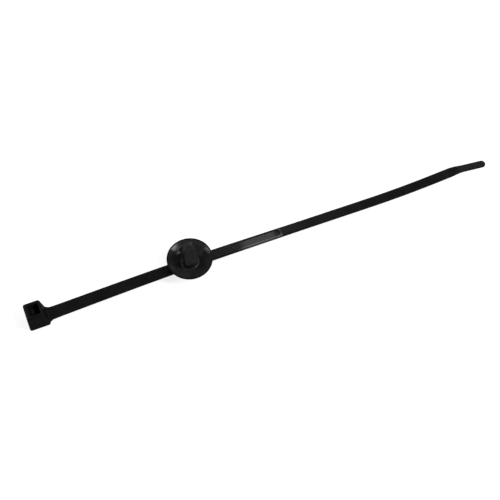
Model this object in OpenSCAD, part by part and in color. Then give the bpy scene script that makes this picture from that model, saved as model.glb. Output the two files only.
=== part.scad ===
// One-piece cable tie with a push-in panel mount partway along its strap.
//
// The tie lies along X as it rests on a bench: head at -X, tail at +X, toothed inner face down, and
// the outer face up, with the head's exit side and the push-in pin.
// The origin is on the axis of the pin, at the rim of the dish: the plane of the panel it pushes into.

/* [Strap] */
// Distance from the mount axis to the end face of the head
head_reach = 65.2; // [45:0.1:120]
// Distance from the mount axis to the tip of the tail
tail_reach = 128.2; // [110:0.1:220]
// Thickness of the strap
strap_t = 1.3; // [1.1:0.05:2]
// Width of the strap where it leaves the head
root_w = 4.9; // [3.6:0.1:7]
// Width of the strap along its teeth
lock_w = 3.8; // [3.2:0.1:6]
// Width of the bent tail
tail_w = 2.8; // [2:0.1:3.6]
// Length of the bent tail
tail_l = 13.5; // [10:0.1:25]

/* [Lie on the bench] */
// Distance from the mount axis back towards the head to the middle of the strap's arch
arch_x = 6; // [0:0.5:12]
// Height of the arch, before it is rounded
arch_rise = 2.5; // [1:0.1:5]
// Distance from the mount axis to where the strap turns up towards the tail
turn_x = 90; // [85:1:95]
// Height of the strap there, before the turn is rounded
turn_rise = 0.1; // [0:0.1:1]
// Height of the strap where the tail bends down, before the bend is rounded
bend_rise = 2.6; // [1:0.1:5]

/* [Teeth] */
// Distance from the mount axis to the first tooth
teeth_start = 44; // [39:0.5:60]
// Length of one tooth along the strap
tooth_pitch = 1.3; // [1:0.05:2]
// Depth of a tooth from its crest to its root
tooth_d = 0.45; // [0.3:0.05:0.55]
// Depth of the channel that the teeth stand in
channel_d = 0.2; // [0.1:0.05:0.25]
// Width of the smooth rail on each side of the teeth
rail_w = 0.6; // [0.4:0.05:0.9]

/* [Panel on the outer face] */
// Distance from the mount axis to the near end of the shallow panel
panel_start = 17; // [12:0.5:24]
// Distance from the mount axis to the far end of the shallow panel
panel_end = 37.4; // [30:0.2:48]
// Width of the strap's edge beside the panel
panel_edge = 0.65; // [0.4:0.05:0.9]
// Depth of the panel
panel_d = 0.2; // [0.1:0.05:0.3]
// Depth of the round pocket at the panel's far end
pocket_d = 0.45; // [0.35:0.05:0.6]

/* [Head] */
// Height of the head
head_h = 8.5; // [7.5:0.1:11]
// Rounding of the head's edges
head_r = 0.8; // [0.3:0.05:1]
// How far the head's end leans in from its foot to its top
end_draft = 0.45; // [0:0.05:0.6]
// How far the head's back leans in from its foot to its top
back_draft = 1.3; // [0:0.05:1.4]
// How far each side of the head leans in from its foot to its top
side_draft = 0.35; // [0:0.05:0.4]
// Depth of the head's foot below the strap's inner face
foot_h = 0.5; // [0.3:0.1:1.5]
// Length of the sloping neck under the strap
neck_l = 5.5; // [2:0.1:6]
// Rounding of the corner between the head's back and the strap
neck_r = 0.7; // [0.3:0.1:1.5]
// Length of the flare on each side of the neck
flare_l = 0.9; // [0.5:0.1:2]
// Wall at the end of the head, which backs the tail
end_wall = 2; // [1.5:0.05:2.5]
// Wall on each side of the slot
side_wall = 1.85; // [1.2:0.05:2.5]
// Wall between the slot and the neck
root_wall = 2.2; // [1.8:0.05:3]
// Clearance over the tail's thickness in the slot
slot_gap = 0.5; // [0.3:0.05:0.8]
// Clearance on each side of the toothed strap in the slot
side_gap = 0.2; // [0.15:0.05:0.6]
// Thickness of the pawl at its free end
pawl_t = 1; // [0.7:0.05:1.1]
// Gap behind the pawl that lets it bend back
pawl_relief = 1.1; // [0.6:0.05:1.3]
// Depth of the pawl's free end below the top of the head
pawl_drop = 1.2; // [0.8:0.1:2]
// Height of the pawl's root above the bottom of the head
pawl_root_h = 2.6; // [2:0.1:3]
// Clearance between the pawl and the strap's teeth and rails
pawl_gap = 0.15; // [0.1:0.05:0.25]

/* [Dish] */
// Diameter of the dish at its rim
dish_d = 17.7; // [14.5:0.1:24]
// Diameter of the dish's flat floor
floor_d = 7.4; // [6.6:0.1:11]
// Height of the rim above the strap's inner face
rim_h = 4.5; // [3.5:0.1:6]
// Thickness of the dish at its rim
rim_t = 0.55; // [0.4:0.05:1]
// Width of the flat seat on the rim
seat_w = 0.5; // [0.3:0.05:0.8]
// Thickness of the dish floor above the strap's outer face
floor_t = 0.3; // [0.2:0.05:0.6]
// Height of the floor's underside above the strap's inner face
floor_step = 0.3; // [0.2:0.05:0.6]

/* [Push-in pin] */
// Diameter of the round boss that centres in the panel's hole
boss_d = 6.2; // [5.1:0.1:7.5]
// Height of the boss above the panel plane
boss_h = 1; // [0.6:0.1:2]
// Height of the nose above the panel plane
nose_h = 11.5; // [8.5:0.1:14]
// Width of the flat end of the nose
nose_w = 1.8; // [1.2:0.1:2.4]
// Width across the free ends of the two wings
wing_span = 7.6; // [6.8:0.1:10.2]
// Thickness of a wing at its free end
wing_t = 0.95; // [0.7:0.05:1.2]
// Gap between the boss and the free ends of the wings
wing_gap = 0.8; // [0.2:0.1:1.4]
// Thickness of the blade between the wings
blade_t = 2.2; // [1.6:0.1:2.4]
// Depth of the blade and the wings along the strap
wing_depth = 5.2; // [3:0.1:5.6]

/* [Hidden] */
$fn = 96;
over = 1;           // how far a cut runs past the face that it opens
strap_step = 3;     // longest stretch of the strap drawn as one flat
bend_step = 0.75;   // the same, around the bend of the tail
neck_soft = 3;      // rounding of the strap's corner at the neck, each way along X
arch_soft = 25;     // rounding of the arch
turn_soft = 15;     // rounding of the turn up towards the tail
bend_soft = 2.5;    // rounding of the tail's bend

slot_t = strap_t + slot_gap;
slot_w = lock_w + 2 * side_gap;
head_l = end_wall + slot_t + pawl_t + pawl_relief + root_wall;
head_w = slot_w + 2 * side_wall;
head_x = -head_reach;
slot_x = head_x + end_wall;
pawl_x = slot_x + slot_t;
relief_x = pawl_x + pawl_t + pawl_relief;
back_x = head_x + head_l;
root_x = back_x + neck_l;
bend_x = tail_reach - tail_l;
channel_w = lock_w - 2 * rail_w;
tooth_n = floor((bend_x - bend_soft - teeth_start) / tooth_pitch);
floor_z = -rim_h + strap_t + floor_t;
catch_z = boss_h + wing_gap;

// Corners of the strap's inner face, each as [x, height above the bench, rounding each way].
corners = [
    [root_x, foot_h, neck_soft],
    [-arch_x, arch_rise, arch_soft],
    [turn_x, turn_rise, turn_soft],
    [bend_x, bend_rise, bend_soft],
    [tail_reach, 0, 0]
];

function slope(i) = (corners[i + 1][1] - corners[i][1]) / (corners[i + 1][0] - corners[i][0]);
function slope_before(i) = i == 0 ? 0 : slope(i - 1);
// The part of x beyond a corner, with a parabola over the rounded stretch.
function past(x, r) = x <= -r ? 0 : x >= r ? x : pow(x + r, 2) / (4 * r);
function sum(v, i = 0) = i == len(v) ? 0 : v[i] + sum(v, i + 1);
// Height of the strap's inner face above the bench.
function lift(x) = foot_h +
    sum([for (i = [0:3]) (slope(i) - slope_before(i)) * past(x - corners[i][0], corners[i][2])]);

function steps(a, b, step) = let (n = ceil((b - a) / step)) [for (i = [0:n]) a + (b - a) * i / n];
function after_first(v) = [for (i = [1:len(v) - 1]) v[i]];
function reversed(v) = [for (i = [len(v) - 1:-1:0]) v[i]];
function arc(x, y, r, from, to, n = 6) =
    [for (i = [0:n]) let (a = from + (to - from) * i / n) [x + r * cos(a), y + r * sin(a)]];
function mirrored(v) = concat(v, [for (p = reversed(v)) [p[0], -p[1]]]);

// Half the strap's width at x.
function half_w(x) = lookup(x, [
    [root_x, root_w],
    [teeth_start, lock_w],
    [bend_x - bend_soft, lock_w],
    [bend_x + bend_soft, tail_w]
]) / 2;

seat_z = rim_h + lift(0);   // height of the rim above the bench
strap_x = relief_x + root_wall / 2;
bend_from = bend_x - 2 * bend_soft;
bend_to = bend_x + 2 * bend_soft;
strap_xs = concat(
    steps(strap_x, bend_from, strap_step),
    after_first(steps(bend_from, bend_to, bend_step)),
    after_first(steps(bend_to, tail_reach, strap_step))
);

// An outline in X and Z, extruded a width w across Y.
module across(w) {
    translate([0, w / 2, 0])
        rotate([90, 0, 0])
            linear_extrude(w)
                children();
}

// An outline in Y and Z, extruded a length l from x.
module lengthwise(x, l) {
    translate([x, 0, 0])
        rotate([90, 0, 90])
            linear_extrude(l)
                children();
}

// The strap's side, as one outline in X and Z.
module strap_side() {
    top = [for (x = strap_xs) [x, lift(x) + strap_t]];
    bottom = [for (x = strap_xs) [x, lift(x)]];
    polygon(concat(top, reversed(bottom)));
}

// The strap seen from above, tapered, with a narrow round-ended tail.
module strap_plan() {
    knots = [strap_x, root_x, teeth_start, bend_x - bend_soft, bend_x + bend_soft];
    edge = [for (x = knots) [x, half_w(x)]];
    tip = arc(tail_reach - tail_w / 2, 0, tail_w / 2, 90, 0);
    polygon(mirrored(concat(edge, tip)));
}

// The channel with its saw teeth: each ramp deepens towards the tail and ends in a locking face.
module tooth_channel() {
    ramps = [for (i = [0:tooth_n - 1])
        let (a = teeth_start + i * tooth_pitch, b = a + tooth_pitch)
        each [[a, lift(a) + channel_d], [b, lift(b) + channel_d + tooth_d]]];
    end = teeth_start + tooth_n * tooth_pitch;
    across(channel_w)
        polygon(concat([[teeth_start, -over]], ramps, [[end, -over]]));
}

// The shallow round-ended panel on the outer face, and the deeper round pocket at its far end.
module face_panel() {
    r = half_w(panel_end) - panel_edge;
    xs = steps(panel_start - over, panel_end + over, strap_step);
    bed = [for (x = xs) [x, lift(x) + strap_t - panel_d]];
    roof = [for (x = [panel_end + over, panel_start - over]) [x, lift(x) + strap_t + over]];
    intersection() {
        across(2 * r)
            polygon(concat(bed, roof));
        union() {
            translate([panel_start + r, -r, 0])
                cube([panel_end - panel_start - 2 * r, 2 * r, seat_z]);
            for (x = [panel_start + r, panel_end - r])
                translate([x, 0, 0])
                    cylinder(r = r, h = seat_z);
        }
    }
    translate([panel_end - r, 0, lift(panel_end - r) + strap_t - pocket_d])
        cylinder(r = r, h = seat_z);
}

module strap() {
    difference() {
        intersection() {
            across(head_w)
                strap_side();
            linear_extrude(seat_z)
                strap_plan();
        }
        tooth_channel();
        face_panel();
    }
}

// The head's side: a tapered block on a foot, with the neck sloping up under the strap.
module head_side() {
    face_z = foot_h + strap_t;
    corner_x = back_x - back_draft * (face_z + neck_r) / head_h + neck_r;
    polygon(concat(
        [[head_x, 0]],
        arc(head_x + end_draft + head_r, head_h - head_r, head_r, 180, 90),
        arc(back_x - back_draft - head_r, head_h - head_r, head_r, 90, 0),
        arc(corner_x, face_z + neck_r, neck_r, 180, 270),
        [[root_x, face_z], [root_x, foot_h], [back_x, 0]]
    ));
}

// The head seen from above, with the neck flaring into the strap.
module head_plan() {
    polygon(mirrored(concat(
        arc(head_x + head_r, head_w / 2 - head_r, head_r, 180, 90),
        arc(back_x - head_r, head_w / 2 - head_r, head_r, 90, 45),
        [[back_x + flare_l, root_w / 2], [root_x, root_w / 2]]
    )));
}

// The head seen from its end, tapered, with rounded top edges.
module head_end() {
    top = head_h - head_r;
    side = head_w / 2 - side_draft;
    polygon(concat(
        [[-head_w / 2, 0], [head_w / 2, 0]],
        arc(side - head_r, top, head_r, 0, 90),
        arc(head_r - side, top, head_r, 90, 180)
    ));
}

// The slot that the tail passes up through, flared where it enters, with the relief behind the pawl.
module head_slot() {
    flare = slot_gap;
    across(slot_w)
        polygon([
            [slot_x - flare, -over],
            [slot_x - flare, 0],
            [slot_x, 2 * flare],
            [slot_x, head_h + over],
            [relief_x, head_h + over],
            [relief_x, pawl_root_h],
            [pawl_x, pawl_root_h],
            [pawl_x, 2 * flare],
            [pawl_x + flare, 0],
            [pawl_x + flare, -over]
        ]);
}

// The pawl: a tongue that stands on the slot's inner side and leans over it, with two locking teeth.
module pawl() {
    tip_x = slot_x + strap_t - channel_d - tooth_d + pawl_gap;
    tip_z = head_h - pawl_drop;
    notch_z = tip_z - tooth_pitch;
    across(channel_w - 2 * pawl_gap)
        polygon([
            [pawl_x, pawl_root_h - over],
            [pawl_x, pawl_root_h],
            [tip_x + tooth_d, notch_z - tooth_pitch],
            [tip_x, notch_z],
            [tip_x + tooth_d, notch_z],
            [tip_x, tip_z],
            [tip_x + pawl_t, tip_z],
            [relief_x - pawl_relief, pawl_root_h + pawl_relief],
            [relief_x, pawl_root_h],
            [relief_x, pawl_root_h - over]
        ]);
}

module head() {
    difference() {
        intersection() {
            across(head_w)
                head_side();
            linear_extrude(head_h)
                head_plan();
            lengthwise(head_x, root_x - head_x)
                head_end();
        }
        head_slot();
    }
    pawl();
}

// The springy dish that bears on the panel: a flat floor across the strap and a cone up to the rim.
module dish() {
    under_z = floor_step - rim_h;
    rotate_extrude()
        polygon([
            [0, under_z],
            [floor_d / 2, under_z],
            [dish_d / 2, -rim_t],
            [dish_d / 2, 0],
            [dish_d / 2 - seat_w, 0],
            [floor_d / 2, floor_z],
            [0, floor_z]
        ]);
}

// One wing with its half of the nose, seen along the strap.
module wing_side() {
    polygon([
        [0, nose_h],
        [nose_w / 2, nose_h],
        [wing_span / 2, catch_z + wing_t / 2],
        [wing_span / 2, catch_z],
        [wing_span / 2 - wing_t, catch_z],
        [blade_t / 2, nose_h - blade_t],
        [0, nose_h - blade_t]
    ]);
}

// The arrow that snaps through the panel: a blade with a wing on each side, narrowed at the nose.
// It is drawn with its wings along X and turned to stand across the strap.
module arrow() {
    side = wing_depth / 2;
    intersection() {
        across(wing_depth)
            union() {
                translate([-blade_t / 2, 0])
                    square([blade_t, nose_h]);
                wing_side();
                mirror([1, 0])
                    wing_side();
            }
        lengthwise(-wing_span, 2 * wing_span)
            polygon([
                [-side, 0],
                [side, 0],
                [side, nose_h - wing_depth],
                [nose_w / 2, nose_h],
                [-nose_w / 2, nose_h],
                [-side, nose_h - wing_depth]
            ]);
    }
}

module push_pin() {
    translate([0, 0, floor_z - floor_t])
        cylinder(d = boss_d, h = boss_h - floor_z + floor_t);
    rotate([0, 0, 90])
        arrow();
}

module cable_tie() {
    color("#141414")
        union() {
            translate([0, 0, -seat_z]) {
                strap();
                head();
            }
            dish();
            push_pin();
        }
}

cable_tie();
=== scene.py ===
"""A one-piece black nylon cable tie with a push-in panel mount, lying on a bench.

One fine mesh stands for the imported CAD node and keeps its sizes, with moulded edges and a nylon skin.
"""

import bmesh
import bpy
import math
from mathutils import Matrix, Vector


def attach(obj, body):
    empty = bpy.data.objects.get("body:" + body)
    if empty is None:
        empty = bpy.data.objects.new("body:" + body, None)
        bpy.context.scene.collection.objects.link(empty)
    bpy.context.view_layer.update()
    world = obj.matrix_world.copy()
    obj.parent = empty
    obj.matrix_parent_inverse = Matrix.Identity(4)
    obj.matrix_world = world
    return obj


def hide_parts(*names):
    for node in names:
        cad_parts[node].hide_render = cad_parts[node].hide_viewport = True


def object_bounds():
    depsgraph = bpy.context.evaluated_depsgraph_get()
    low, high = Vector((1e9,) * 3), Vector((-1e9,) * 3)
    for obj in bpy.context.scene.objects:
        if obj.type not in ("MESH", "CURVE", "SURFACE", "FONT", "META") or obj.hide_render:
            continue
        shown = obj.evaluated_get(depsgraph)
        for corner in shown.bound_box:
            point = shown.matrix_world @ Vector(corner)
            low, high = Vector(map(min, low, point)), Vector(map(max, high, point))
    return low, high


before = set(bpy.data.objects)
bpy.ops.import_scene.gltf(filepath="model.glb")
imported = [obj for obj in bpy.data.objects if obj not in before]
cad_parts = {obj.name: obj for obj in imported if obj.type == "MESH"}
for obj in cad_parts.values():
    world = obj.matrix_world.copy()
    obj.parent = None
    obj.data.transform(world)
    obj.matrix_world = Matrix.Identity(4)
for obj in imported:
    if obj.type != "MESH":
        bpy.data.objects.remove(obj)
cad_low, cad_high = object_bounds()

MM = 0.001
MICRON = 1e-6

# ---------------------------------------------------------------- sizes, in millimetres, as in the CAD source
HEAD_REACH, TAIL_REACH = 65.2, 128.2
STRAP_T, ROOT_W, LOCK_W, TAIL_W, TAIL_L = 1.3, 4.9, 3.8, 2.8, 13.5
ARCH_X, ARCH_RISE = 6.0, 2.5
TURN_X, TURN_RISE, BEND_RISE = 90.0, 0.1, 2.6
NECK_SOFT, ARCH_SOFT, TURN_SOFT, BEND_SOFT = 3.0, 25.0, 15.0, 2.5
TEETH_START, TOOTH_PITCH, TOOTH_D, CHANNEL_D, RAIL_W = 44.0, 1.3, 0.45, 0.2, 0.6
PANEL_START, PANEL_END, PANEL_EDGE, PANEL_D, POCKET_D = 17.0, 37.4, 0.65, 0.2, 0.45
HEAD_H, HEAD_R, END_DRAFT, BACK_DRAFT, SIDE_DRAFT = 8.5, 0.8, 0.45, 1.3, 0.35
FOOT_H, NECK_L, NECK_R, FLARE_L = 0.5, 5.5, 0.7, 0.9
END_WALL, SIDE_WALL, ROOT_WALL = 2.0, 1.85, 2.2
SLOT_GAP, SIDE_GAP = 0.5, 0.2
PAWL_T, PAWL_RELIEF, PAWL_DROP, PAWL_ROOT_H, PAWL_GAP = 1.0, 1.1, 1.2, 2.6, 0.15
DISH_D, FLOOR_D, RIM_H, RIM_T, SEAT_W, FLOOR_T, FLOOR_STEP = 17.7, 7.4, 4.5, 0.55, 0.5, 0.3, 0.3
BOSS_D, BOSS_H = 6.2, 1.0
NOSE_H, NOSE_W, WING_SPAN, WING_T, WING_GAP = 11.5, 1.8, 7.6, 0.95, 0.8
BLADE_T, WING_DEPTH = 2.2, 5.2

SLOT_T = STRAP_T + SLOT_GAP
SLOT_W = LOCK_W + 2 * SIDE_GAP
HEAD_L = END_WALL + SLOT_T + PAWL_T + PAWL_RELIEF + ROOT_WALL
HEAD_W = SLOT_W + 2 * SIDE_WALL
HEAD_X = -HEAD_REACH
SLOT_X = HEAD_X + END_WALL
PAWL_X = SLOT_X + SLOT_T
RELIEF_X = PAWL_X + PAWL_T + PAWL_RELIEF
BACK_X = HEAD_X + HEAD_L
ROOT_X = BACK_X + NECK_L
BEND_X = TAIL_REACH - TAIL_L
CHANNEL_W = LOCK_W - 2 * RAIL_W
TOOTH_N = math.floor((BEND_X - BEND_SOFT - TEETH_START) / TOOTH_PITCH)
FLOOR_Z = -RIM_H + STRAP_T + FLOOR_T
CATCH_Z = BOSS_H + WING_GAP

# Rounding of moulded edges
STRAP_R = 0.26      # along the strap
FOOT_R = 0.15       # under the head
SLOT_R = 0.16       # in the corners of the head's slot
RIM_R = 0.14        # around the mouth of the slot
FINE_R = 0.09       # pawl, panel and pocket
WING_R = 0.13       # blade and wings of the pin
LEAST_R = 0.02      # the smallest that a corner gets
# Dish and boss: underside, rim below, rim above, seat, floor, foot of the boss, top of the boss
DISH_RADII = (0.9, 0.16, 0.16, 0.14, 0.6, 0.25, 0.22)

# Small offsets
OVER = 1.0          # how far a cut runs past the face that it opens
TINY = 1e-9         # slack for rounding errors
NECK_STEP = 0.03    # height of the neck's underside over the head's foot, so that their faces don't coincide
POCKET_IN = 0.02    # how much smaller in radius the pocket is than the panel's round end, for the same reason
TOOTH_LEAN = 0.05   # how far a tooth's locking face leans

# The head
CORNER_IN = 0.6     # how much tighter its corners get for each millimetre that its outline is taken in
WALL_LEVELS = (2.5, 5.0)    # heights of the rings between its foot and its rounded top
MOUTH_TURN = 75     # degrees of the rounding at the slot's mouths, which stops short of the head's faces

# The neck's flare beside the head
FLARE_W = 0.85      # how much wider it is on each side than the strap
FLARE_IN = 0.9      # how far inside the head it starts to narrow
FLARE_OUT = 0.7     # how far it runs on past the flare's length

# Distance between the strap's rings: in the head, along the flare, the strap, the bend and the tail
HEAD_STEP, FLARE_STEP, STRAP_STEP, BEND_STEP, TAIL_STEP = 0.4, 0.1, 1.1, 0.35, 0.9
COLUMNS = 8         # quads across the strap's wide faces
CORNER_N = 4        # segments round an edge of the strap
TURN_N = 144        # segments round the dish
POCKET_N = 40       # segments round the pocket
SHARP = 40          # degrees between two faces from which their edge shades as sharp

# Cells per metre of the nylon's noises: clouds in its tone, flow in its gloss, and the skin of the mould
CLOUDS, FLOW, SKIN = 90.0, 260.0, 2600.0
SKIN_BUMP, FLOW_BUMP = (0.25, 0.00003), (0.2, 0.0001)       # strength, and height in metres
CLOUD_EDGES = (0.35, 0.7)           # where the clouds turn from the dark tone to the pale one
MATT_LOW, MATT_HIGH = 0.36, 0.46    # roughness of the nylon, along the flow
COAT_MATT = 0.23                    # roughness of its gloss
# Near blacks of the nylon, and how much lighter the dish and pin are painted than the strap: painted light
# that stands in for the brighter light inside the dish, not a tone of their own
DARK, PALE = (0.0017, 0.0017, 0.0018, 1), (0.0040, 0.0040, 0.0041, 1)
MOUNT_PAINTED_LIGHT = 1.9
# Coat weight of the skin, the dish, the pin, the panel, and the panel's near edge
SKIN_SHINE, DISH_SHINE, PIN_SHINE, BED_SHINE, RAIL_SHINE = 0.05, 0.22, 0.10, 0.18, 0.5
FAR_SHINE = 0.2     # share of the panel's shine that its far edge keeps
MASK_SOFT = 0.2     # width of the soft border between two finishes
EDGE_FROM, EDGE_TO = 1.2, 1.4       # where the panel's bed gives way to its edges, from its middle line
FADE_FROM, FADE_TO = 1.0, 7.0       # where the panel's shine sets in, from its start
END_FROM, END_TO = 0.4, 0.8         # where it stops, past the panel's end

WHITE = (1, 1, 1, 1)
# White of the bench: the share that is plain white; the rest is lit paint, which holds the shadow
BENCH_WHITE, BENCH_PAINT = 0.8, (0.8, 0.8, 0.8, 1)
BENCH_HALF = 8.0    # half the bench's side, in metres
BENCH_GAP = 0.02    # how far the bench lies under the tie, so that their faces don't coincide
SKY_LIGHT = 0.45

# Each lamp's name, azimuth and elevation in degrees, distance and size in metres, and power in watts
LAMPS = (
    ("key", 122, 46, 0.9, (0.22, 0.5), 13.5),
    ("left", 298, 38, 0.9, (0.26, 0.26), 4.4),
    ("back", 27, 60, 0.4, (0.07, 0.07), 0.19),
    ("right", 58, 38, 0.9, (0.2, 0.2), 0.8),
    ("low", 350, 40, 0.9, (0.5, 0.2), 2.0),
)

# Camera: its angle over the bench and its heading from +Y towards +X, and the point that it looks at
ELEVATION, HEADING = math.radians(61.896), math.radians(21.528)
AIM = Vector((23.186, -4.139, -2.012))
DISTANCE = 386.33
LENS, SENSOR = 72.0, 36.0

# Corners of the strap's inner face: x, height above the bench, and rounding each way
CORNERS = [
    (ROOT_X, FOOT_H, NECK_SOFT),
    (-ARCH_X, ARCH_RISE, ARCH_SOFT),
    (TURN_X, TURN_RISE, TURN_SOFT),
    (BEND_X, BEND_RISE, BEND_SOFT),
    (TAIL_REACH, 0.0, 0.0),
]


# ---------------------------------------------------------------- the strap's line
def past(x, r):
    """The part of x beyond a corner, with a parabola over the rounded stretch."""
    if x <= -r:
        return 0.0
    return x if x >= r else (x + r) ** 2 / (4 * r)


def lift(x):
    """Height of the strap's inner face above the bench."""
    z, before = FOOT_H, 0.0
    for (x0, z0, r), (x1, z1, _) in zip(CORNERS, CORNERS[1:]):
        slope = (z1 - z0) / (x1 - x0)
        z += (slope - before) * past(x - x0, r)
        before = slope
    return z


SEAT_Z = RIM_H + lift(0)    # height of the dish's rim above the bench


def lookup(x, table):
    """Straight lines between the table's points, flat beyond its ends."""
    if x <= table[0][0]:
        return table[0][1]
    for (x0, y0), (x1, y1) in zip(table, table[1:]):
        if x <= x1:
            return y0 + (y1 - y0) * (x - x0) / (x1 - x0)
    return table[-1][1]


def ease(t):
    """A smooth step from 0 at t = 0 to 1 at t = 1."""
    t = min(1.0, max(0.0, t))
    return t * t * (3 - 2 * t)


def half_w(x):
    """Half the strap's width at x."""
    return lookup(x, [(ROOT_X, ROOT_W), (TEETH_START, LOCK_W),
                      (BEND_X - BEND_SOFT, LOCK_W), (BEND_X + BEND_SOFT, TAIL_W)]) / 2


def arc(from_deg, to_deg, n):
    """Unit vectors at n + 1 angles."""
    for i in range(n + 1):
        a = math.radians(from_deg + (to_deg - from_deg) * i / n)
        yield math.cos(a), math.sin(a)


def circle(x, r, n):
    """A circle seen from above, as n points round a centre at x."""
    return [(x + r * c, r * s) for c, s in list(arc(0, 360, n))[:-1]]


def steps(a, b, step):
    """Even places from a to b, no further apart than the step."""
    n = max(1, math.ceil((b - a) / step - TINY))
    return [a + (b - a) * i / n for i in range(n + 1)]


# ---------------------------------------------------------------- mesh helpers
def heal(mesh):
    """Merges coincident points and turns the normals outwards."""
    bm = bmesh.new()
    bm.from_mesh(mesh)
    bmesh.ops.remove_doubles(bm, verts=bm.verts, dist=MICRON)
    bmesh.ops.dissolve_degenerate(bm, edges=bm.edges, dist=MICRON)
    bmesh.ops.recalc_face_normals(bm, faces=bm.faces)
    bm.to_mesh(mesh)
    bm.free()


def mesh_object(name, verts, faces):
    """A closed mesh from points in millimetres."""
    mesh = bpy.data.meshes.new(name)
    mesh.from_pydata([Vector(v) * MM for v in verts], [], faces)
    heal(mesh)
    obj = bpy.data.objects.new(name, mesh)
    bpy.context.scene.collection.objects.link(obj)
    return obj


def loft(name, rings):
    """A skin over closed rings of as many points each, with a cap at each end."""
    n = len(rings[0])
    verts = [p for ring in rings for p in ring]
    faces = [(i * n + j, i * n + (j + 1) % n, (i + 1) * n + (j + 1) % n, (i + 1) * n + j)
             for i in range(len(rings) - 1) for j in range(n)]
    faces.append(tuple(range(n)))
    faces.append(tuple(range((len(rings) - 1) * n, len(rings) * n)))
    return mesh_object(name, verts, faces)


def prism(name, outline, depth):
    """An outline in X and Z, extruded a depth across Y."""
    rings = [[(x, side * depth / 2, z) for x, z in outline] for side in (-1, 1)]
    return loft(name, rings)


def bevel(obj, width, segments=2, angle=25):
    """Rounds the edges that turn by more than the angle, in degrees."""
    m = obj.modifiers.new("edges", "BEVEL")
    m.width = width * MM
    m.segments = segments
    m.limit_method = "ANGLE"
    m.angle_limit = math.radians(angle)
    m.use_clamp_overlap = True
    return apply(obj)


def apply(obj):
    """Applies the object's modifiers to its mesh."""
    bpy.context.view_layer.update()
    graph = bpy.context.evaluated_depsgraph_get()
    mesh = bpy.data.meshes.new_from_object(obj.evaluated_get(graph), depsgraph=graph)
    old = obj.data
    obj.modifiers.clear()
    obj.data = mesh
    bpy.data.meshes.remove(old)
    return obj


def combine(obj, tool, operation):
    """Joins the tool's solid to the object's, or cuts it out, and removes the tool."""
    m = obj.modifiers.new("solid", "BOOLEAN")
    m.operation = operation
    m.solver = "EXACT"
    m.object = tool
    apply(obj)
    mesh = tool.data
    bpy.data.objects.remove(tool)
    bpy.data.meshes.remove(mesh)
    return obj


def rounded_box_ring(x0, x1, half_y, r, z, n=6):
    """A rectangle with round corners at height z."""
    r = max(r, LEAST_R)
    ring = []
    for cx, cy, start in ((x1 - r, half_y - r, 0), (x0 + r, half_y - r, 90),
                          (x0 + r, r - half_y, 180), (x1 - r, r - half_y, 270)):
        ring += [(cx + r * c, cy + r * s, z) for c, s in arc(start, start + 90, n)]
    return ring


# ---------------------------------------------------------------- head
def head_ring(z, inset):
    """The head's outline at height z, taken in by an inset where an edge is rounded."""
    t = z / HEAD_H
    return rounded_box_ring(
        HEAD_X + END_DRAFT * t + inset, BACK_X - BACK_DRAFT * t - inset,
        HEAD_W / 2 - SIDE_DRAFT * t - inset, HEAD_R - CORNER_IN * inset, z)


def make_head():
    """The head's block: a rounded foot, drafted walls and a rounded top."""
    rings = [head_ring(FOOT_R * (1 - s), FOOT_R * (1 - c)) for c, s in reversed(list(arc(0, 90, 4)))]
    rings += [head_ring(z, 0) for z in WALL_LEVELS]
    rings += [head_ring(HEAD_H - HEAD_R + HEAD_R * s, HEAD_R * (1 - c)) for c, s in arc(0, 90, 10)]
    return loft("head", rings)


def slot_ring(z, x0, x1, grow=0.0):
    """The slot's outline at height z, from x0 to x1, widened at its mouths."""
    return rounded_box_ring(x0 - grow, x1 + grow, SLOT_W / 2 + grow, SLOT_R + grow, z, 4)


def make_slot():
    """The passage for the tail, flared where it enters, with the relief behind the pawl above a ledge."""
    flare = SLOT_GAP
    wide = SLOT_X - flare, PAWL_X + flare
    narrow, relieved = (SLOT_X, PAWL_X), (SLOT_X, RELIEF_X)
    rings = [slot_ring(-OVER, *wide, RIM_R)]
    rings += [slot_ring(RIM_R * (1 - s), *wide, RIM_R * (1 - c))
              for c, s in reversed(list(arc(0, MOUTH_TURN, 4)))]
    rings += [slot_ring(2 * flare, *narrow), slot_ring(PAWL_ROOT_H, *narrow),
              slot_ring(PAWL_ROOT_H, *relieved)]
    rings += [slot_ring(HEAD_H - RIM_R * (1 - s), *relieved, RIM_R * (1 - c))
              for c, s in arc(0, MOUTH_TURN, 5)]
    rings.append(slot_ring(HEAD_H + OVER, *relieved, RIM_R))
    return loft("slot", rings)


def make_pawl():
    """A tongue on the slot's inner side that leans over it, with two locking teeth."""
    tip_x = SLOT_X + STRAP_T - CHANNEL_D - TOOTH_D + PAWL_GAP
    tip_z = HEAD_H - PAWL_DROP
    notch_z = tip_z - TOOTH_PITCH
    outline = [
        (PAWL_X, PAWL_ROOT_H - OVER), (PAWL_X, PAWL_ROOT_H),
        (tip_x + TOOTH_D, notch_z - TOOTH_PITCH), (tip_x, notch_z), (tip_x + TOOTH_D, notch_z),
        (tip_x, tip_z), (tip_x + PAWL_T, tip_z),
        (RELIEF_X - PAWL_RELIEF, PAWL_ROOT_H + PAWL_RELIEF), (RELIEF_X, PAWL_ROOT_H),
        (RELIEF_X, PAWL_ROOT_H - OVER),
    ]
    return bevel(prism("pawl", outline, CHANNEL_W - 2 * PAWL_GAP), FINE_R)


# ---------------------------------------------------------------- strap and neck
def neck_top(x):
    """Height of the neck's outer face, which curves up into the head's back."""
    face = FOOT_H + STRAP_T
    corner = BACK_X - BACK_DRAFT * (face + NECK_R) / HEAD_H + NECK_R
    if x >= corner:
        return face
    d = min(NECK_R, corner - x)
    return face + NECK_R - math.sqrt(NECK_R ** 2 - d ** 2)


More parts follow.
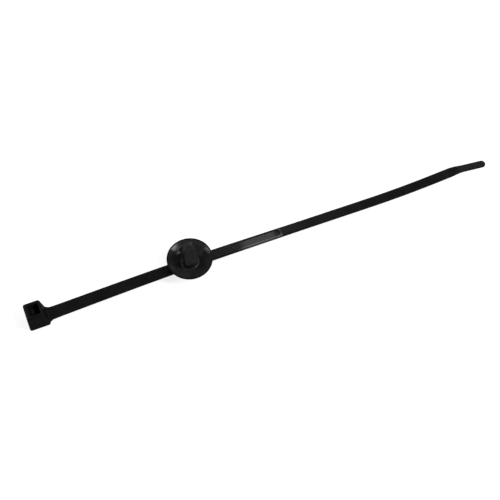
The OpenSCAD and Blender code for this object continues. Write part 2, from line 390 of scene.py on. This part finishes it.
def strap_section(x):
    """(half width, bottom, top) of the neck and the strap at x."""
    if x >= ROOT_X:
        return half_w(x), lift(x), lift(x) + STRAP_T
    bottom = max(NECK_STEP, FOOT_H * (x - BACK_X) / NECK_L)
    past_start = (x - BACK_X + FLARE_IN) / (FLARE_IN + FLARE_L + FLARE_OUT)
    spread = FLARE_W * (1 - ease(past_start))
    return ROOT_W / 2 + spread, bottom, neck_top(x)


def across_to_other_side(point):
    """The points between this one and its mirror image in Y, along one of the strap's wide faces."""
    x, y, z = point
    return [(x, y * (1 - 2 * i / COLUMNS), z) for i in range(1, COLUMNS)]


def strap_ring(x, half, bottom, top):
    """A rectangle with round corners in Y and Z at x, with columns along its two wide sides."""
    r = STRAP_R
    ring = []
    for cy, cz, start in ((half - r, top - r, 0), (r - half, top - r, 90),
                          (r - half, bottom + r, 180), (half - r, bottom + r, 270)):
        ring += [(x, cy + r * c, cz + r * s) for c, s in arc(start, start + 90, CORNER_N)]
        if start in (0, 180):
            ring += across_to_other_side(ring[-1])
    return ring


def tip_ring(x, reach):
    """A section of the tail's round end, which lies at x, a reach past the centre of its half circle."""
    full = TAIL_W / 2
    flat = STRAP_T / 2 - STRAP_R
    most = full - reach     # the deepest inset that this x still cuts
    ring = []
    for side, level, start in ((1, 1, 0), (-1, 1, 90), (-1, -1, 180), (1, -1, 270)):
        for c, s in arc(start, start + 90, CORNER_N):
            inset = STRAP_R * (1 - abs(c))
            rise = flat + STRAP_R * abs(s)
            if inset > most:
                inset = most
                rise = flat + math.sqrt(max(0.0, STRAP_R ** 2 - (STRAP_R - most) ** 2))
            y = math.sqrt(max(0.0, (full - inset) ** 2 - reach ** 2))
            ring.append((x, side * y, lift(x) + STRAP_T / 2 + level * rise))
        if start in (0, 180):
            ring += across_to_other_side(ring[-1])
    return ring


def make_strap():
    """The strap from inside the head to the tip of its tail."""
    tip_x = TAIL_REACH - TAIL_W / 2
    flare_to = BACK_X + FLARE_L + HEAD_STEP
    bend_from, bend_to = BEND_X - 2 * BEND_SOFT, BEND_X + 2 * BEND_SOFT
    xs = steps(RELIEF_X + ROOT_WALL / 2, BACK_X - HEAD_STEP, HEAD_STEP)
    xs += steps(BACK_X - HEAD_STEP, flare_to, FLARE_STEP)[1:]
    xs += steps(flare_to, bend_from, STRAP_STEP)[1:]
    xs += steps(bend_from, bend_to, BEND_STEP)[1:]
    xs += steps(bend_to, tip_x, TAIL_STEP)[1:]
    rings = [strap_ring(x, *strap_section(x)) for x in xs]
    reaches = [TAIL_W / 2 * c for c, _ in list(arc(90, 0, 22))[1:]]
    rings += [tip_ring(tip_x + reach, reach) for reach in reaches]
    return loft("strap", rings)


def make_tooth_cutter():
    """The channel with its saw teeth: each ramp deepens towards the tail and ends in a locking face."""
    outline = [(TEETH_START, -OVER)]
    for i in range(TOOTH_N):
        a, b = TEETH_START + i * TOOTH_PITCH, TEETH_START + (i + 1) * TOOTH_PITCH
        outline += [(a, lift(a) + CHANNEL_D), (b - TOOTH_LEAN, lift(b) + CHANNEL_D + TOOTH_D)]
    outline.append((TEETH_START + TOOTH_N * TOOTH_PITCH, -OVER))
    return prism("teeth", outline, CHANNEL_W)


def stadium(x0, x1, r, n=16):
    """A round-ended slot seen from above, between the centres x0 and x1 of its ends."""
    ring = [(x1 + r * c, r * s) for c, s in arc(-90, 90, n)]
    ring += [(x, r) for x in reversed(steps(x0, x1, STRAP_STEP)[1:-1])]
    ring += [(x0 + r * c, r * s) for c, s in arc(90, 270, n)]
    ring += [(x, -r) for x in steps(x0, x1, STRAP_STEP)[1:-1]]
    return ring


def make_recess_cutter(name, x0, x1, r, depth):
    """A shallow recess that follows the strap's outer face, with a soft rim and a soft floor edge."""
    profile = [(r - FINE_R * (1 - s), -depth + FINE_R * (1 - c)) for c, s in arc(0, 90, 3)]
    profile += [(r + FINE_R * (1 - c), -FINE_R + FINE_R * s) for c, s in arc(0, 60, 3)]
    profile.append((r + FINE_R, OVER))
    rings = []
    for half, z in profile:
        plan = stadium(x0, x1, half) if x1 > x0 else circle(x0, half, POCKET_N)
        rings.append([(x, y, lift(x) + STRAP_T + z) for x, y in plan])
    return loft(name, rings)


# ---------------------------------------------------------------- dish and push-in pin
def fillet(points, radii, n=5):
    """An open outline with each corner between its ends rounded, by up to about half of its sides."""
    most = 0.48
    out = [points[0]]
    for a, p, b, r in zip(points, points[1:], points[2:], radii):
        a, p, b = Vector(a), Vector(p), Vector(b)
        u, v = (a - p).normalized(), (b - p).normalized()
        half = u.angle(v) / 2
        cut = min(r / math.tan(half), most * (a - p).length, most * (b - p).length)
        r = cut * math.tan(half)
        centre = p + (u + v).normalized() * (r / math.sin(half))
        s, e = p + u * cut - centre, p + v * cut - centre
        turn = s.angle_signed(e)
        for k in range(n + 1):
            out.append(tuple(centre + Matrix.Rotation(-turn * k / n, 2) @ s))
    out.append(points[-1])
    return out


def make_dish():
    """The springy dish and the round boss in its middle, as one turned body."""
    under_z = FLOOR_STEP - RIM_H
    rim = DISH_D / 2
    profile = [
        (0.0, under_z), (FLOOR_D / 2, under_z), (rim, -RIM_T), (rim, 0.0), (rim - SEAT_W, 0.0),
        (FLOOR_D / 2, FLOOR_Z), (BOSS_D / 2, FLOOR_Z), (BOSS_D / 2, BOSS_H), (0.0, BOSS_H),
    ]
    rings = [[(x, y, z) for x, y in circle(0, r, TURN_N)] for r, z in fillet(profile, DISH_RADII)]
    return loft("dish", rings)


def make_arrow():
    """The arrow that snaps through the panel: a blade with a wing on each side, narrowed at the nose.

    It is built with its wings along X, then turned to stand across the strap.
    """
    half = WING_SPAN / 2
    right = [
        (NOSE_W / 2, NOSE_H), (half, CATCH_Z + WING_T / 2), (half, CATCH_Z), (half - WING_T, CATCH_Z),
        (BLADE_T / 2, NOSE_H - BLADE_T), (BLADE_T / 2, 0),
    ]
    outline = right + [(-x, z) for x, z in reversed(right)]
    arrow = prism("arrow", outline, WING_DEPTH)
    side = WING_DEPTH / 2
    spine = [(-side, -OVER), (side, -OVER), (side, NOSE_H - WING_DEPTH), (NOSE_W / 2, NOSE_H),
             (NOSE_W / 2, NOSE_H + OVER), (-NOSE_W / 2, NOSE_H + OVER), (-NOSE_W / 2, NOSE_H),
             (-side, NOSE_H - WING_DEPTH)]
    rings = [[(x, y, z) for y, z in spine] for x in (-WING_SPAN, WING_SPAN)]
    combine(arrow, loft("narrowing", rings), "INTERSECT")
    arrow.data.transform(Matrix.Rotation(math.radians(90), 4, "Z"))
    return bevel(arrow, WING_R)


# ---------------------------------------------------------------- one moulding
def make_tie():
    """The head, strap, dish and pin, fused into one closed mesh in the CAD's frame."""
    moulding = make_head()
    combine(moulding, make_slot(), "DIFFERENCE")
    combine(moulding, make_pawl(), "UNION")
    strap = make_strap()
    combine(strap, make_tooth_cutter(), "DIFFERENCE")
    r = half_w(PANEL_END) - PANEL_EDGE
    end = PANEL_END - r
    combine(strap, make_recess_cutter("panel", PANEL_START + r, end, r, PANEL_D), "DIFFERENCE")
    combine(strap, make_recess_cutter("pocket", end, end, r - POCKET_IN, POCKET_D), "DIFFERENCE")
    combine(moulding, strap, "UNION")
    moulding.data.transform(Matrix.Translation((0, 0, -SEAT_Z * MM)))
    dish = make_dish()
    combine(dish, make_arrow(), "UNION")
    combine(moulding, dish, "UNION")
    moulding.name = moulding.data.name = "nylon_moulding"
    mesh = moulding.data
    heal(mesh)
    mesh.shade_smooth()
    mesh.set_sharp_from_angle(angle=math.radians(SHARP))
    w = moulding.modifiers.new("normals", "WEIGHTED_NORMAL")
    w.keep_sharp = True
    w.weight = 80
    return moulding


# ---------------------------------------------------------------- material
def nodes_of(owner):
    """The node tree of a material or world, emptied."""
    owner.use_nodes = True
    tree = owner.node_tree
    tree.nodes.clear()
    return tree


def add(tree, kind, operation=None, **values):
    """A node with its inputs set by name, from a value or from another node's output."""
    node = tree.nodes.new(kind)
    if operation:
        node.operation = operation
    for key, value in values.items():
        key = key.replace("_", " ")
        if isinstance(value, bpy.types.NodeSocket):
            tree.links.new(value, node.inputs[key])
        else:
            node.inputs[key].default_value = value
    return node


def ramp(tree, value, start, end, low=0.0, high=1.0):
    """A smooth step of the value from low at the start to high at the end."""
    node = add(tree, "ShaderNodeMapRange", Value=value, From_Min=start, From_Max=end,
               To_Min=low, To_Max=high)
    node.interpolation_type = "SMOOTHSTEP"
    return node.outputs["Result"]


def combined(tree, operation, first, second):
    """The two values, or outputs of nodes, joined by a Math node."""
    node = tree.nodes.new("ShaderNodeMath")
    node.operation = operation
    for value, socket in ((first, node.inputs[0]), (second, node.inputs[1])):
        if isinstance(value, bpy.types.NodeSocket):
            tree.links.new(value, socket)
        else:
            socket.default_value = value
    return node.outputs[0]


def mount_mask(tree, at):
    """1 inside the dish's rim and on the pin, and 0 on the strap: where the painted light and the smoother
    gloss go.
    """
    flat = add(tree, "ShaderNodeCombineXYZ", X=at.outputs["X"], Y=at.outputs["Y"])
    radius = add(tree, "ShaderNodeVectorMath", "LENGTH", Vector=flat.outputs["Vector"])
    seat = DISH_D / 2 - SEAT_W
    inside = ramp(tree, radius.outputs["Value"], (seat - MASK_SOFT) * MM, seat * MM, 1.0, 0.0)
    above = ramp(tree, at.outputs["Z"], (FLOOR_Z - MASK_SOFT) * MM, FLOOR_Z * MM)
    return combined(tree, "MULTIPLY", inside, above)


def polish(tree, at, mount):
    """The coat's weight: satin, but smoother in the dish, and polished in the panel on the outer face."""
    x, y, z = (at.outputs[axis] for axis in "XYZ")
    middle = lift((PANEL_START + PANEL_END) / 2) + STRAP_T / 2 - SEAT_Z
    panel = ramp(tree, x, (PANEL_START + FADE_FROM) * MM, (PANEL_START + FADE_TO) * MM)
    for mask in (ramp(tree, x, (PANEL_END + END_FROM) * MM, (PANEL_END + END_TO) * MM, 1.0, 0.0),
                 ramp(tree, z, (middle - MASK_SOFT / 2) * MM, (middle + MASK_SOFT / 2) * MM),
                 ramp(tree, y, EDGE_FROM * MM, EDGE_TO * MM, 1.0, FAR_SHINE),
                 ramp(tree, y, -EDGE_TO * MM, -EDGE_FROM * MM, RAIL_SHINE, BED_SHINE)):
        panel = combined(tree, "MULTIPLY", panel, mask)
    dish = combined(tree, "MULTIPLY", mount, ramp(tree, z, 0.0, BOSS_H * MM, DISH_SHINE, PIN_SHINE))
    return combined(tree, "MAXIMUM", combined(tree, "MAXIMUM", panel, dish), SKIN_SHINE)


def noise(tree, place, scale, detail, roughness):
    """A noise of so many cells a metre."""
    node = add(tree, "ShaderNodeTexNoise", Vector=place, Scale=scale, Detail=detail, Roughness=roughness)
    return node.outputs["Fac"]


def nylon():
    """Satin black nylon: two near blacks in soft clouds, an uneven gloss, a mould's fine skin, and painted
    light that makes the dish and pin lighter than the strap.
    """
    material = bpy.data.materials.new("satin_black_nylon")
    tree = nodes_of(material)
    place = tree.nodes.new("ShaderNodeTexCoord").outputs["Object"]
    clouds = noise(tree, place, CLOUDS, 5.0, 0.7)
    skin = noise(tree, place, SKIN, 2.0, 0.6)
    flow = noise(tree, place, FLOW, 2.0, 0.5)
    colour = add(tree, "ShaderNodeValToRGB", Fac=clouds)
    for stop, edge, near_black in zip(colour.color_ramp.elements, CLOUD_EDGES, (DARK, PALE)):
        stop.position = edge
        stop.color = near_black
    at = add(tree, "ShaderNodeSeparateXYZ", Vector=place)
    mount = mount_mask(tree, at)
    # Painted light: the dish and pin are scaled lighter than the strap, standing in for the brighter light
    # inside the dish.
    painted_light = combined(tree, "ADD", combined(tree, "MULTIPLY", mount, MOUNT_PAINTED_LIGHT), 1.0)
    tone = add(tree, "ShaderNodeVectorMath", "SCALE", Vector=colour.outputs["Color"], Scale=painted_light)
    matt = ramp(tree, flow, 0.3, 0.7, MATT_LOW, MATT_HIGH)
    strength, height = SKIN_BUMP
    rough = add(tree, "ShaderNodeBump", Strength=strength, Distance=height, Height=skin)
    strength, height = FLOW_BUMP
    wavy = add(tree, "ShaderNodeBump", Strength=strength, Distance=height, Height=flow,
               Normal=rough.outputs["Normal"])
    shader = add(tree, "ShaderNodeBsdfPrincipled")
    tree.links.new(tone.outputs["Vector"], shader.inputs["Base Color"])
    tree.links.new(matt, shader.inputs["Roughness"])
    tree.links.new(wavy.outputs["Normal"], shader.inputs["Normal"])
    shader.inputs["Specular IOR Level"].default_value = 0.0
    tree.links.new(polish(tree, at, mount), shader.inputs["Coat Weight"])
    shader.inputs["Coat Roughness"].default_value = COAT_MATT
    tree.links.new(wavy.outputs["Normal"], shader.inputs["Coat Normal"])
    out = tree.nodes.new("ShaderNodeOutputMaterial")
    tree.links.new(shader.outputs["BSDF"], out.inputs["Surface"])
    return material


# ---------------------------------------------------------------- stage
def seen_ray(tree):
    """1 for a ray from the camera, or one that the camera sees by a reflection or through glass."""
    path = tree.nodes.new("ShaderNodeLightPath")
    seen = path.outputs["Is Camera Ray"]
    for other in ("Is Glossy Ray", "Is Transmission Ray"):
        seen = combined(tree, "MAXIMUM", seen, path.outputs[other])
    return seen


def mix(tree, share, first, second):
    """The first shader, with a share of the second."""
    both = tree.nodes.new("ShaderNodeMixShader")
    tree.links.new(share, both.inputs[0])
    tree.links.new(first, both.inputs[1])
    tree.links.new(second, both.inputs[2])
    return both.outputs["Shader"]


def make_floor(z):
    """A white bench that keeps the object's shadow. From below it can be looked through."""
    corners = [(x * BENCH_HALF, y * BENCH_HALF, z) for x, y in ((-1, -1), (1, -1), (1, 1), (-1, 1))]
    mesh = bpy.data.meshes.new("floor")
    mesh.from_pydata(corners, [], [(0, 1, 2, 3)])
    floor = bpy.data.objects.new("floor", mesh)
    bpy.context.scene.collection.objects.link(floor)
    material = bpy.data.materials.new("white_bench")
    tree = nodes_of(material)
    share = combined(tree, "MULTIPLY", seen_ray(tree), BENCH_WHITE)
    paint = add(tree, "ShaderNodeBsdfDiffuse", Color=BENCH_PAINT)
    white = add(tree, "ShaderNodeEmission", Color=WHITE, Strength=1.0)
    clear = tree.nodes.new("ShaderNodeBsdfTransparent")
    below = tree.nodes.new("ShaderNodeNewGeometry").outputs["Backfacing"]
    top = mix(tree, share, paint.outputs["BSDF"], white.outputs["Emission"])
    out = tree.nodes.new("ShaderNodeOutputMaterial")
    tree.links.new(mix(tree, below, top, clear.outputs["BSDF"]), out.inputs["Surface"])
    mesh.materials.append(material)


def lamp(name, azimuth, elevation, distance, size, power):
    """A soft light that faces the camera's aim from an elevation and an azimuth, from +Y towards +X."""
    a, e = math.radians(azimuth), math.radians(elevation)
    away = Vector((math.sin(a) * math.cos(e), math.cos(a) * math.cos(e), math.sin(e)))
    light = bpy.data.lights.new(name, "AREA")
    light.shape = "RECTANGLE"
    light.size, light.size_y = size
    light.energy = power
    obj = bpy.data.objects.new(name, light)
    obj.location = AIM * MM + away * distance
    obj.rotation_mode = "QUATERNION"
    obj.rotation_quaternion = away.to_track_quat("Z", "Y")
    bpy.context.scene.collection.objects.link(obj)


def make_camera():
    """Looks down on the tie from its near side, with the strap running away to the right."""
    right = Vector((math.cos(HEADING), -math.sin(HEADING), 0))
    level = Vector((math.sin(HEADING), math.cos(HEADING), 0))
    forward = level * math.cos(ELEVATION) + Vector((0, 0, -math.sin(ELEVATION)))
    up = level * math.sin(ELEVATION) + Vector((0, 0, math.cos(ELEVATION)))
    data = bpy.data.cameras.new("camera")
    data.lens, data.sensor_width = LENS, SENSOR
    data.clip_start, data.clip_end = 0.01, 50.0
    camera = bpy.data.objects.new("camera", data)
    bpy.context.scene.collection.objects.link(camera)
    place = (AIM - forward * DISTANCE) * MM
    turn = Matrix((right, up, -forward)).transposed().to_4x4()
    camera.matrix_world = Matrix.Translation(place) @ turn
    bpy.context.scene.camera = camera


def make_world():
    """White to the camera and in reflections, and a plain grey as a light."""
    world = bpy.data.worlds.new("studio")
    bpy.context.scene.world = world
    tree = nodes_of(world)
    light = add(tree, "ShaderNodeBackground", Color=WHITE, Strength=SKY_LIGHT)
    white = add(tree, "ShaderNodeBackground", Color=WHITE, Strength=1.0)
    out = tree.nodes.new("ShaderNodeOutputWorld")
    tree.links.new(mix(tree, seen_ray(tree), light.outputs[0], white.outputs[0]), out.inputs["Surface"])


tie = make_tie()
tie.data.materials.clear()
tie.data.materials.append(nylon())
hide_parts("cable_tie")
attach(tie, "root")

make_camera()
make_floor(cad_low.z - BENCH_GAP * MM)
make_world()
for row in LAMPS:
    lamp(*row)

bpy.context.scene.view_settings.view_transform = "Standard"
